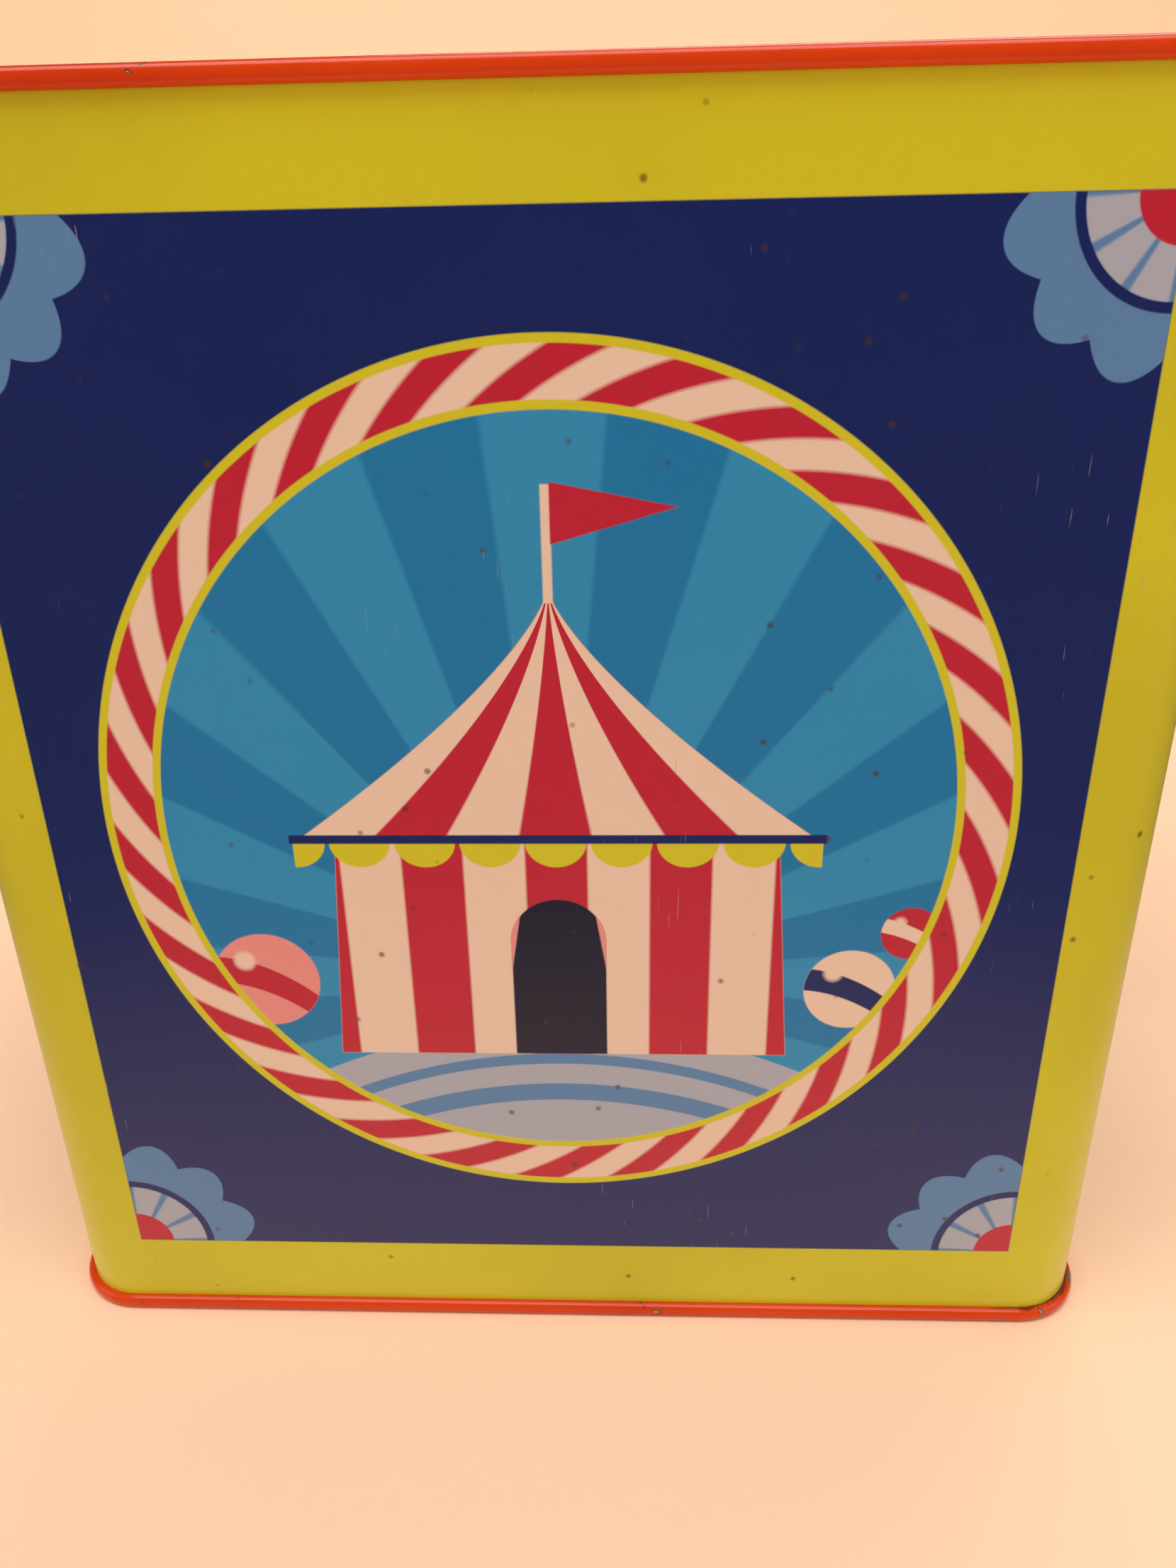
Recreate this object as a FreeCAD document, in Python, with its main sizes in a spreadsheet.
import FreeCAD, Part
import math
import os
import re

import Sketcher
from FreeCAD import Placement, Rotation, Vector

# Tin jack in the box: printed tin case, hinged lid, hand-cranked movement that trips the lid, and a puppet
# on a spring.
# Millimetres. +Z is up, the printed front looks along -Y, the crank is on +X, and the origin is on the
# standing surface under the middle of the case.

# Driving sizes: name, value, meaning
SIZES = (
    ("box_width", 140, "case across, outside of the tin"),
    ("box_depth", 140, "case front to back, outside of the tin"),
    ("box_height", 148, "case from foot to top of the rim"),
    ("corner_radius", 9, "upright corners of the case"),
    ("tin", 0.5, "sheet thickness"),
    ("seam_height", 1.9, "rolled seam bead, top to bottom"),
    ("seam_proud", 1.05, "how far the bead stands out from the wall"),
    ("seam_round", 0.85, "rounding of the bead"),
    ("seam_floor", 0.6, "metal folded past the edge of the wall"),
    ("base_recess", 3.0, "hollow under the base"),
    ("lock_seam", 5.0, "width of the lock seam inside the back"),
    ("ledge_width", 7.0, "ledge that the lid rests on"),
    ("ledge_drop", 3.6, "ledge below the top of the rim"),
    ("ledge_lip", 2.0, "turned-down lip of the ledge"),
    ("lid_gap", 0.8, "lid edge to rim"),
    ("lid_height", 2.0, "depth of the lid pressing"),
    ("lid_round", 0.8, "rounding of the lid edge"),
    ("seat_gap", 0.2, "lid edge to ledge"),
    ("rib_inset", 16.0, "raised rib of the lid from its edge"),
    ("rib_width", 3.0, "raised rib of the lid, width"),
    ("rib_height", 0.5, "raised rib of the lid, height"),
    ("hinge_pin_radius", 0.8, "hinge wire"),
    ("hinge_gap", 0.06, "clearance of the wire in its knuckles"),
    ("knuckle_wall", 0.6, "wall of a hinge knuckle"),
    ("knuckle_length", 12.0, "length of a hinge knuckle"),
    ("knuckle_gap", 0.4, "gap between hinge knuckles"),
    ("hinge_inset", 2.6, "hinge axis from the inside of the rim"),
    ("hinge_rise", 1.95, "hinge axis above the ledge"),
    ("striker_width", 5.0, "lid striker"),
    ("striker_thick", 0.8, "lid striker sheet"),
    ("striker_drop", 26.0, "striker below the lid"),
    ("striker_foot", 10.0, "striker foot under the lid"),
    ("rivet_radius", 1.2, "rivet shank"),
    ("crank_height", 75.0, "crank axis above the standing surface"),
    ("plate_thick", 1.5, "movement plates"),
    ("movement_depth", 39.5, "wall to far side of the movement"),
    ("plate_rise", 23.0, "plates above the crank axis"),
    ("pillar_radius", 3.5, "frame pillars"),
    ("screw_radius", 1.5, "frame screws"),
    ("screw_head", 3.0, "screw head radius"),
    ("screw_crown", 1.8, "screw head height"),
    ("screw_grip", 6.0, "screw length inside a pillar"),
    ("gear_module", 0.8, "tooth size"),
    ("pinion_teeth", 12, "teeth of the crank pinion"),
    ("gear_teeth", 60, "teeth of the drum gear"),
    ("pressure_angle", 25, "slope of the teeth in degrees"),
    ("tooth_play", 0.16, "thinning of each tooth"),
    ("pinion_width", 6.0, "face width of the pinion"),
    ("gear_width", 4.0, "face width of the drum gear"),
    ("rod_radius", 2.0, "crank rod"),
    ("running_gap", 0.06, "clearance of turning rods in their bearings"),
    ("crank_reach", 12.0, "wall to the crank arm"),
    ("crank_throw", 34.0, "crank axis to knob axis"),
    ("crank_bend", 7.0, "bend radius of the rod"),
    ("knob_length", 22.0, "knob"),
    ("knob_radius", 8.0, "knob at its belly"),
    ("knob_play", 0.4, "end play of the knob"),
    ("cap_radius", 3.2, "push cap"),
    ("cap_height", 2.4, "push cap"),
    ("bush_radius", 3.5, "crank bush"),
    ("bush_flange", 6.5, "flange radius of the crank bush"),
    ("flange_thick", 1.2, "flange of the crank bush"),
    ("collar_ring", 4.0, "retaining collar radius"),
    ("collar_width", 2.0, "retaining collar"),
    ("axle_radius", 2.0, "drum axle"),
    ("drum_radius", 16.0, "pinned drum"),
    ("drum_gap", 3.0, "drum to inner plate"),
    ("drum_margin", 1.2, "drum end to first track"),
    ("track_pitch", 1.4, "spacing of the notes"),
    ("pin_height", 1.0, "drum pins"),
    ("pin_radius", 0.45, "drum pins"),
    ("cam_gap", 2.5, "cam to outer plate"),
    ("cam_width", 3.0, "trip cam"),
    ("cam_hub", 1.0, "cam hub against the gear"),
    ("cam_high", 20.0, "cam radius that holds the lever up"),
    ("cam_drop", 1.5, "depth of the cam's low stretch"),
    ("cam_dwell", 84, "length of the low stretch in degrees"),
    ("comb_gap", 0.35, "pins to comb"),
    ("comb_length", 26.0, "comb front to back"),
    ("comb_thick", 0.8, "comb plate"),
    ("tine_slot", 0.4, "slot between tines"),
    ("tine_long", 16.0, "longest tine"),
    ("tine_short", 10.0, "shortest tine"),
    ("bar_depth", 10.0, "comb bar front to back"),
    ("bar_height", 8.0, "comb bar"),
    ("toe_gap", 0.3, "lever toe to cam, lever finger to catch"),
    ("lever_arm", 27.0, "lever pivot to toe"),
    ("lever_thick", 2.0, "lever plate"),
    ("lever_hub", 5.0, "lever boss radius"),
    ("lever_pivot", 1.5, "lever pin radius"),
    ("catch_setback", 27.5, "front face of the catch in front of the crank axis"),
    ("catch_thick", 0.6, "leaf catch"),
    ("catch_width", 5.0, "leaf catch"),
    ("nose_reach", 3.5, "catch nose"),
    ("puppet_shift", 6.0, "puppet to the right of the middle of the free room"),
    ("spring_wire", 1.6, "coil spring wire"),
    ("spring_radius", 20.0, "coil spring, middle of the wire"),
    ("spring_pitch", 2.7, "coil spring, squeezed pitch"),
    ("spring_rest", 33.5, "squeezed height between seats"),
    ("seat_radius", 25.0, "spring plate"),
    ("seat_thick", 1.0, "spring plate"),
    ("boss_radius", 18.6, "bosses inside the spring ends"),
    ("boss_height", 3.0, "bosses inside the spring ends"),
    ("cloth_gap", 0.6, "spring to costume"),
    ("cloth_thick", 1.0, "costume between folds"),
    ("fold_depth", 1.8, "costume folds"),
    ("fold_pitch", 5.5, "costume folds"),
    ("plug_radius", 24.0, "neck plug flange"),
    ("plug_flange", 3.0, "neck plug flange thickness"),
    ("spigot_radius", 7.8, "neck plug spigot"),
    ("spigot_height", 20.0, "neck plug spigot"),
    ("collar_radius", 31.0, "ruffle"),
    ("collar_height", 6.0, "ruffle"),
    ("neck_radius", 10.0, "neck of the head"),
    ("neck_height", 5.0, "neck of the head"),
    ("head_radius", 26.0, "head"),
    ("nose_radius", 4.5, "nose"),
    ("hair_radius", 8.5, "side hair"),
    ("brim_height", 5.0, "rolled hat brim"),
    ("brim_width", 6.5, "rolled hat brim"),
    ("tip_gap", 6.0, "pompom to lid"),
    ("pompom_radius", 6.0, "pompom"),
    ("arm_offset", 31.0, "arms from the puppet's axis"),
    ("arm_radius", 5.8, "arm at its fullest"),
)

# Sizes that follow from the driving ones
DERIVED = {
    "half_x": "box_width / 2",
    "half_y": "box_depth / 2",
    "wall_x": "half_x - tin",
    "floor_top": "base_recess + tin",
    "ledge_top": "box_height - ledge_drop",
    "hinge_y": "half_y - 2 * tin - hinge_inset",
    "hinge_z": "ledge_top + hinge_rise",
    "knuckle_radius": "hinge_pin_radius + hinge_gap + knuckle_wall",
    "lid_low": "ledge_top + seat_gap",
    "lid_top": "lid_low + lid_height",
    "lid_under": "lid_top - tin",
    "lid_side": "half_x - 2 * tin - lid_gap",
    "lid_front": "half_y - 2 * tin - lid_gap",
    "lid_rear": "hinge_y - knuckle_radius - 0.35",
    "plate_face": "wall_x - plate_thick",
    "inner_back": "wall_x - movement_depth",
    "inner_face": "inner_back + plate_thick",
    "pitch_radius": "gear_module * gear_teeth / 2",
    "drum_z": "crank_height - gear_module * (pinion_teeth + gear_teeth) / 2",
    "cam_end": "plate_face - cam_gap",
    "cam_start": "cam_end - cam_width",
    "gear_end": "cam_start - cam_hub",
    "gear_start": "gear_end - gear_width",
    "drum_start": "inner_face + drum_gap",
    "cam_low": "cam_high - cam_drop",
    "comb_tip": "drum_radius + pin_height + comb_gap",
    "comb_back": "comb_tip + comb_length",
    "bar_front": "comb_back - bar_depth",
    "lever_reach": "cam_high + toe_gap",
    "lever_y": "-0.70711 * (lever_reach + lever_arm)",
    "lever_z": "drum_z + 0.70711 * (lever_reach - lever_arm)",
    "plate_front": "lever_y - lever_hub - 1",
    "plate_rear": "comb_back + 3.6",
    "plate_low": "drum_z - pitch_radius - 9",
    "plate_high": "crank_height + plate_rise",
    "pillar_front": "lever_y + 13.5",
    "pillar_rear": "plate_rear - 7",
    "pillar_low": "plate_low + 7",
    "pillar_high": "plate_high - 10",
    "catch_x": "cam_start + cam_width / 2",
    "catch_y": "-catch_setback",
    "striker_y": "catch_y - 2.1 - striker_thick",
    "striker_low": "lid_under - striker_drop",
    "catch_nose": "striker_low + 5.1",
    "finger_z": "catch_nose - 14",
    "tab_low": "plate_high - 16",
    "crank_x": "half_x + crank_reach",
    "knob_z": "crank_height + crank_throw",
    "knob_start": "crank_x + crank_bend + 1",
    "knob_end": "knob_start + knob_length",
    "rod_start": "inner_back - collar_width - 1.3",
    "rod_end": "knob_end + knob_play + 0.7 * cap_height",
    "puppet_x": "puppet_shift - movement_depth / 2",
    "seat_z": "floor_top + seat_thick",
    "plug_z": "seat_z + spring_rest",
    "collar_z": "plug_z + plug_flange",
    "neck_z": "collar_z + collar_height",
    "head_z": "neck_z + neck_height + head_radius",
    "brim_z": "head_z + 0.42 * head_radius",
    "hat_z": "brim_z + brim_height",
    "pompom_z": "lid_under - tip_gap - pompom_radius",
    "cloth_inner": "spring_radius + spring_wire / 2 + cloth_gap",
    "cloth_outer": "cloth_inner + cloth_thick",
}

doc = FreeCAD.newDocument("jack_in_the_box")
sheet = doc.addObject("Spreadsheet::Sheet", "Sizes")
for row, (alias, number, meaning) in enumerate(SIZES, 1):
    sheet.set(f"A{row}", meaning)
    sheet.set(f"B{row}", str(number))
    sheet.setAlias(f"B{row}", alias)
doc.recompute()

DRIVING = {alias for alias, _, _ in SIZES}
DIAGONAL = 1 / math.sqrt(2)
pieces = {}


def bind(text):
    """Turns the size names in a formula into references to the sheet's cells."""

    def reference(word):
        name = word[0]
        if name in DERIVED:
            return "(" + bind(DERIVED[name]) + ")"
        return "Sizes." + name if name in DRIVING else name

    return re.sub(r"[a-z_]+", reference, text)


def size(text):
    """The number that a formula over the sizes gives."""
    return float(sheet.evalExpression(bind(text)))


def keep(piece, label):
    """Names a finished piece."""
    piece.Label = label
    pieces[label] = piece
    return piece


# Sketch helpers: every point is held by two formulas over the sheet

PLANES = {"top": "XY_Plane", "front": "XZ_Plane", "side": "YZ_Plane"}


def new_body(label):
    return keep(doc.addObject("PartDesign::Body", label), label)


def sketch_on(body, plane, offset=None, origin=None):
    """A sketch on an origin plane of the body, moved along its normal by offset, with its origin moved."""
    sketch = body.newObject("Sketcher::SketchObject", body.Label + "_sketch")
    support = next(item for item in body.Origin.OriginFeatures if item.Role == PLANES[plane])
    sketch.AttachmentSupport = [(support, "")]
    sketch.MapMode = "FlatFace"
    moves = {"z": offset}
    if origin:
        moves.update(x=origin[0], y=origin[1])
    for letter, text in moves.items():
        if text:
            sketch.setExpression("AttachmentOffset.Base." + letter, bind(text))
    return sketch


def hold(sketch, element, vertex, place):
    """Holds one point of a sketch at a place given by two formulas."""
    for kind, axis, text in (("DistanceX", -2, place[0]), ("DistanceY", -1, place[1])):
        if text == "0":
            sketch.addConstraint(Sketcher.Constraint("PointOnObject", element, vertex, axis))
            continue
        number = sketch.addConstraint(Sketcher.Constraint(kind, -1, 1, element, vertex, size(text)))
        sketch.setExpression(f"Constraints[{number}]", bind(text))


def spot(place):
    return Vector(size(place[0]), size(place[1]), 0)


def draw_outline(sketch, corners):
    """Closes an outline through corners (x, y). A third entry makes the next edge an arc through it."""
    spots = [spot(corner) for corner in corners]
    ends = []
    for index, corner in enumerate(corners):
        start = spots[index]
        finish = spots[(index + 1) % len(spots)]
        if len(corner) == 2:
            element = sketch.addGeometry(Part.LineSegment(start, finish), False)
        else:
            element = sketch.addGeometry(Part.ArcOfCircle(start, spot(corner[2]), finish), False)
            middle = sketch.addGeometry(Part.Point(spot(corner[2])), True)
            hold(sketch, middle, 1, corner[2])
            sketch.addConstraint(Sketcher.Constraint("PointOnObject", middle, 1, element))
        forward = (sketch.getPoint(element, 1) - start).Length < (sketch.getPoint(element, 2) - start).Length
        ends.append((element, 1, 2) if forward else (element, 2, 1))
    for index, (element, start, _) in enumerate(ends):
        previous, _, finish = ends[index - 1]
        sketch.addConstraint(Sketcher.Constraint("Coincident", previous, finish, element, start))
        hold(sketch, element, start, corners[index])
    return sketch


def draw_circle(sketch, place, radius):
    element = sketch.addGeometry(Part.Circle(spot(place), Vector(0, 0, 1), size(radius)), False)
    hold(sketch, element, 3, place)
    number = sketch.addConstraint(Sketcher.Constraint("Radius", element, size(radius)))
    sketch.setExpression(f"Constraints[{number}]", bind(radius))
    return sketch


def draw_box(sketch, left, right, low, high):
    return draw_outline(sketch, [(left, low), (right, low), (right, high), (left, high)])


def draw_round_box(sketch, left, right, low, high, radius):
    """A rectangle with rounded corners, given by its four sides."""
    bulge = f"{1 - DIAGONAL:.5f} * ({radius})"
    inset = f"({radius})"
    corners = [
        (f"{left} + {inset}", low),
        (f"{right} - {inset}", low, (f"{right} - {bulge}", f"{low} + {bulge}")),
        (right, f"{low} + {inset}"),
        (right, f"{high} - {inset}", (f"{right} - {bulge}", f"{high} - {bulge}")),
        (f"{right} - {inset}", high),
        (f"{left} + {inset}", high, (f"{left} + {bulge}", f"{high} - {bulge}")),
        (left, f"{high} - {inset}"),
        (left, f"{low} + {inset}", (f"{left} + {bulge}", f"{low} + {bulge}")),
    ]
    return draw_outline(sketch, corners)


def draw_case_loop(sketch, inward):
    """The outline of the case, moved inward from the outside of the tin by a formula."""
    side = f"half_x - ({inward})"
    end = f"half_y - ({inward})"
    return draw_round_box(sketch, f"-({side})", side, f"-({end})", end, f"corner_radius - ({inward})")


def grow(body, kind, sketch, length=None, backward=False):
    """Adds a pad or a pocket. A pocket without a length goes through everything."""
    feature = body.newObject("PartDesign::" + kind, body.Label + "_" + kind.lower())
    feature.Profile = sketch
    feature.Reversed = backward
    if length:
        feature.setExpression("Length", bind(length))
    else:
        feature.Type = "ThroughAll"
    sketch.Visibility = False
    doc.recompute()
    return feature


def turn(body, sketch, axis):
    """Revolves a sketch a full turn about one of its own axes."""
    feature = body.newObject("PartDesign::Revolution", body.Label + "_turning")
    feature.Profile = sketch
    feature.ReferenceAxis = (sketch, [axis])
    feature.Angle = 360
    doc.recompute()
    return feature


def turned_across(label, profile, y, z):
    """A turned piece on an axis along X at (y, z). The profile is (x, radius)."""
    body = new_body(label)
    across = None if y == "0" else f"-({y})"
    turn(body, draw_outline(sketch_on(body, "front", across, (None, z)), profile), "H_Axis")
    return body


def turned_upright(label, profile):
    """A turned piece on the puppet's upright axis. The profile is (radius, z)."""
    body = new_body(label)
    turn(body, draw_outline(sketch_on(body, "front", None, ("puppet_x", None)), profile), "V_Axis")
    return body


def round_level_edges(body, feature, radius):
    """Rounds every edge of the feature that lies level."""
    level = [
        f"Edge{number}"
        for number, edge in enumerate(feature.Shape.Edges, 1)
        if edge.BoundBox.ZLength < 1e-6
    ]
    rounding = body.newObject("PartDesign::Fillet", body.Label + "_rounding")
    rounding.Base = (feature, level)
    rounding.setExpression("Radius", bind(radius))
    doc.recompute()
    return rounding


AXES = {
    "x": Rotation(Vector(0, 1, 0), 90),
    "y": Rotation(Vector(1, 0, 0), -90),
    "z": Rotation(),
}


def cylinder(axis, place, radius, length):
    """A plain cylinder from place along an axis, all sizes as formulas."""
    item = doc.addObject("Part::Cylinder", "round")
    item.setExpression("Radius", bind(radius))
    item.setExpression("Height", bind(length))
    item.Placement = Placement(Vector(), AXES[axis])
    for letter, text in zip("xyz", place):
        item.setExpression("Placement.Base." + letter, bind(text))
    return item


def fastener_group(label, axis, steps, places):
    """Identical rivets or screws as one node. Steps are (start, length, radius) along the axis."""
    members = []
    for place in places:
        rounds = []
        for start, length, radius in steps:
            spot_along = list(place)
            spot_along["xyz".index(axis)] = start
            rounds.append(cylinder(axis, spot_along, radius, length))
        joined = doc.addObject("Part::MultiFuse", label + "_one")
        joined.Shapes = rounds
        members.append(joined)
    group = doc.addObject("Part::Compound", label)
    group.Links = members
    return keep(group, label)


# Places that several pieces share

PILLARS = [
    ("pillar_front", "pillar_low"),
    ("pillar_rear", "pillar_low"),
    ("pillar_rear", "pillar_high"),
    ("pillar_front", "pillar_high"),
]
BAR_SCREW = ("comb_back - bar_depth / 2", "drum_z - bar_height / 2")
COMB_SCREWS = [
    ("drum_start + 5", "comb_back - bar_depth / 2"),
    ("gear_start - 5", "comb_back - bar_depth / 2"),
]
STRIKER_RIVETS = [
    ("catch_x", "striker_y + striker_thick + 2.4"),
    ("catch_x", "striker_y + striker_foot - 2.2"),
]
CATCH_RIVETS = [("catch_x", "tab_low + 4"), ("catch_x", "tab_low + 11")]
SEAT_RIVETS = [
    (f"puppet_x + {12 * math.cos(angle):.3f}", f"{12 * math.sin(angle):.3f}")
    for angle in (math.pi / 2, math.pi * 7 / 6, math.pi * 11 / 6)
]


# Case: wall, base, rim


def make_body_shell():
    body = new_body("body_shell")
    sketch = sketch_on(body, "top", "seam_floor")
    draw_case_loop(sketch, "0")
    draw_case_loop(sketch, "tin")
    grow(body, "Pad", sketch, "box_height - 2 * seam_floor")
    strip = draw_box(
        sketch_on(body, "top", "seam_height + base_recess"),
        "half_x - corner_radius - 4 - lock_seam",
        "half_x - corner_radius - 4",
        "half_y - 2.2 * tin",
        "half_y - 0.5 * tin",
    )
    grow(body, "Pad", strip, "box_height - 2 * seam_height - base_recess - ledge_drop - ledge_lip")
    holes = sketch_on(body, "side", "half_x + 1")
    draw_circle(holes, ("0", "crank_height"), "bush_radius")
    for place in PILLARS:
        draw_circle(holes, place, "screw_radius + 0.05")
    grow(body, "Pocket", holes, "tin + 2")


def make_base_pan():
    body = new_body("base_pan")
    bead = grow(body, "Pad", draw_case_loop(sketch_on(body, "top"), "-seam_proud"), "seam_height")
    round_level_edges(body, bead, "seam_round")
    grow(body, "Pad", draw_case_loop(sketch_on(body, "top"), "tin"), "floor_top")
    grow(body, "Pocket", draw_case_loop(sketch_on(body, "top"), "2 * tin"), "base_recess", True)
    fold = sketch_on(body, "top", "seam_height")
    draw_case_loop(fold, "0")
    draw_case_loop(fold, "tin")
    grow(body, "Pocket", fold, "seam_height - seam_floor")
    holes = sketch_on(body, "top", "floor_top")
    for place in SEAT_RIVETS:
        draw_circle(holes, place, "rivet_radius")
    grow(body, "Pocket", holes)


def knuckle_start(index):
    """Left end of one of the five hinge knuckles."""
    return f"{index - 2.5} * knuckle_length + {index - 2} * knuckle_gap"


def add_knuckles(body, indexes, tab):
    """Hinge tubes along X, each with a tab given as (front, rear, low, high) in the side view."""
    for index in indexes:
        start = knuckle_start(index)
        tube = draw_circle(sketch_on(body, "side", start), ("hinge_y", "hinge_z"), "knuckle_radius")
        grow(body, "Pad", tube, "knuckle_length")
        grow(body, "Pad", draw_box(sketch_on(body, "side", start), *tab), "knuckle_length")
    bore = draw_circle(
        sketch_on(body, "side", "-3 * knuckle_length"),
        ("hinge_y", "hinge_z"),
        "hinge_pin_radius + hinge_gap",
    )
    grow(body, "Pocket", bore, "6 * knuckle_length", True)


def make_top_ring():
    body = new_body("top_ring")
    start = "box_height - seam_height"
    bead = grow(body, "Pad", draw_case_loop(sketch_on(body, "top", start), "-seam_proud"), "seam_height")
    round_level_edges(body, bead, "seam_round")
    low = "ledge_top - tin - ledge_lip"
    grow(body, "Pad", draw_case_loop(sketch_on(body, "top", low), "tin"), f"box_height - ({low})")
    grow(body, "Pocket", draw_case_loop(sketch_on(body, "top", "box_height"), "2 * tin"), "ledge_drop")
    mouth = sketch_on(body, "top", "box_height")
    side = "half_x - 2 * tin - ledge_width"
    end = "half_y - 2 * tin - ledge_width"
    draw_round_box(mouth, f"-({side})", side, f"-({end})", end, "corner_radius / 2")
    grow(body, "Pocket", mouth)
    under = sketch_on(body, "top", low)
    draw_case_loop(under, "2 * tin")
    lip_side = "half_x - 3 * tin - ledge_width + 2 * tin"
    lip_end = "half_y - 3 * tin - ledge_width + 2 * tin"
    draw_round_box(under, f"-({lip_side})", lip_side, f"-({lip_end})", lip_end, "corner_radius / 2 + tin")
    grow(body, "Pocket", under, "ledge_lip", True)
    fold = sketch_on(body, "top", start)
    draw_case_loop(fold, "0")
    draw_case_loop(fold, "tin")
    grow(body, "Pocket", fold, "seam_height - seam_floor", True)
    notch = draw_box(
        sketch_on(body, "top", "box_height"),
        "catch_x - striker_width / 2 - 6",
        "catch_x + striker_width / 2 + 1",
        "striker_y - 7",
        "striker_y + striker_thick + 3",
    )
    grow(body, "Pocket", notch)
    tab = ("hinge_y + knuckle_radius - tin", "hinge_y + knuckle_radius", "ledge_top - tin / 2", "hinge_z")
    add_knuckles(body, (1, 3), tab)


def make_hinge_pin():
    end = "2.5 * knuckle_length + 2 * knuckle_gap + 0.8"
    radius = "hinge_pin_radius"
    profile = [(f"-({end})", "0"), (end, "0"), (end, radius), (f"-({end})", radius)]
    turned_across("hinge_pin", profile, "hinge_y", "hinge_z")


# Lid with its striker


def make_lid_panel():
    body = new_body("lid_panel")
    sides = ("-(lid_side)", "lid_side", "-(lid_front)", "lid_rear")
    radius = "corner_radius - 2 * tin - lid_gap"
    pressing = grow(
        body,
        "Pad",
        draw_round_box(sketch_on(body, "top", "lid_low"), *sides, radius),
        "lid_height",
    )
    top_edges = [
        f"Edge{number}"
        for number, edge in enumerate(pressing.Shape.Edges, 1)
        if edge.BoundBox.ZMin > size("lid_top") - 1e-4
    ]
    rounding = body.newObject("PartDesign::Fillet", "lid_rounding")
    rounding.Base = (pressing, top_edges)
    rounding.setExpression("Radius", bind("lid_round"))
    doc.recompute()
    hollow = draw_round_box(
        sketch_on(body, "top", "lid_low"),
        "-(lid_side - 2 * tin)",
        "lid_side - 2 * tin",
        "-(lid_front - 2 * tin)",
        "lid_rear - 2 * tin",
        radius + " - 2 * tin",
    )
    grow(body, "Pocket", hollow, "lid_height - tin", True)
    rib = sketch_on(body, "top", "lid_top")
    for inset in ("rib_inset", "(rib_inset + rib_width)"):
        draw_round_box(
            rib,
            f"-(lid_side - {inset})",
            f"lid_side - {inset}",
            f"-(lid_front - {inset})",
            f"lid_rear - {inset}",
            f"24 - {inset}",
        )
    grow(body, "Pad", rib, "rib_height")
    tab = ("lid_rear - 2 * tin", "hinge_y", "hinge_z - tin / 2", "hinge_z + tin / 2")
    add_knuckles(body, (0, 2, 4), tab)
    holes = sketch_on(body, "top", "lid_top")
    for place in STRIKER_RIVETS:
        draw_circle(holes, place, "rivet_radius")
    grow(body, "Pocket", holes, "2 * tin")


def make_striker():
    body = new_body("lid_striker")
    front = "striker_y"
    back = "striker_y + striker_thick"
    foot = "striker_y + striker_foot"
    bend = "lid_under - striker_thick"
    corners = [
        (front, "striker_low"),
        (back, "striker_low"),
        (back, bend),
        (foot, bend),
        (foot, "lid_under"),
        (front, "lid_under"),
    ]
    strip = draw_outline(sketch_on(body, "side", "catch_x - striker_width / 2"), corners)
    grow(body, "Pad", strip, "striker_width")
    window = draw_box(
        sketch_on(body, "front", "2 - striker_y"),
        "catch_x - striker_width / 2 + 0.9",
        "catch_x + striker_width / 2 - 0.9",
        "catch_nose - 2.6",
        "catch_nose + 1.2",
    )
    grow(body, "Pocket", window, "striker_thick + 3")
    holes = sketch_on(body, "top", "lid_under")
    for place in STRIKER_RIVETS:
        draw_circle(holes, place, "rivet_radius")
    grow(body, "Pocket", holes, "striker_thick + 1")
    steps = [
        ("lid_under - striker_thick - 0.6", "0.6", "rivet_radius + 0.8"),
        ("lid_under - striker_thick - 0.3", "striker_thick + tin + 0.6", "rivet_radius"),
        ("lid_top", "0.7", "rivet_radius + 1"),
    ]
    fastener_group("striker_rivets", "z", steps, [(x, y, "0") for x, y in STRIKER_RIVETS])


# Movement frame


def make_plates():
    bearing = "rod_radius + running_gap"
    outer = new_body("plate_outer")
    sheet_outline = sketch_on(outer, "side", "plate_face")
    draw_round_box(sheet_outline, "plate_front", "plate_rear", "plate_low", "plate_high", "4")
    draw_circle(sheet_outline, ("0", "crank_height"), "bush_radius")
    draw_circle(sheet_outline, ("0", "drum_z"), "axle_radius + running_gap")
    draw_circle(sheet_outline, ("lever_y", "lever_z"), "lever_pivot")
    for place in PILLARS:
        draw_circle(sheet_outline, place, "screw_radius + 0.05")
    grow(outer, "Pad", sheet_outline, "plate_thick")
    tab = draw_box(
        sketch_on(outer, "front", "catch_setback - catch_thick - plate_thick"),
        "catch_x - catch_width / 2 - 1.5",
        "plate_face + plate_thick / 2",
        "tab_low",
        "plate_high",
    )
    grow(outer, "Pad", tab, "plate_thick")
    holes = sketch_on(outer, "front", "catch_setback")
    for place in CATCH_RIVETS:
        draw_circle(holes, place, "rivet_radius")
    grow(outer, "Pocket", holes, "plate_thick + 2")

    inner = new_body("plate_inner")
    sheet_outline = sketch_on(inner, "side", "inner_back")
    draw_round_box(
        sheet_outline, "pillar_front - 7", "plate_rear", "plate_low", "pillar_high + 7", "4"
    )
    draw_circle(sheet_outline, ("0", "crank_height"), bearing)
    draw_circle(sheet_outline, ("0", "drum_z"), "axle_radius + running_gap")
    for place in PILLARS + [BAR_SCREW]:
        draw_circle(sheet_outline, place, "screw_radius + 0.05")
    grow(inner, "Pad", sheet_outline, "plate_thick")


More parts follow.
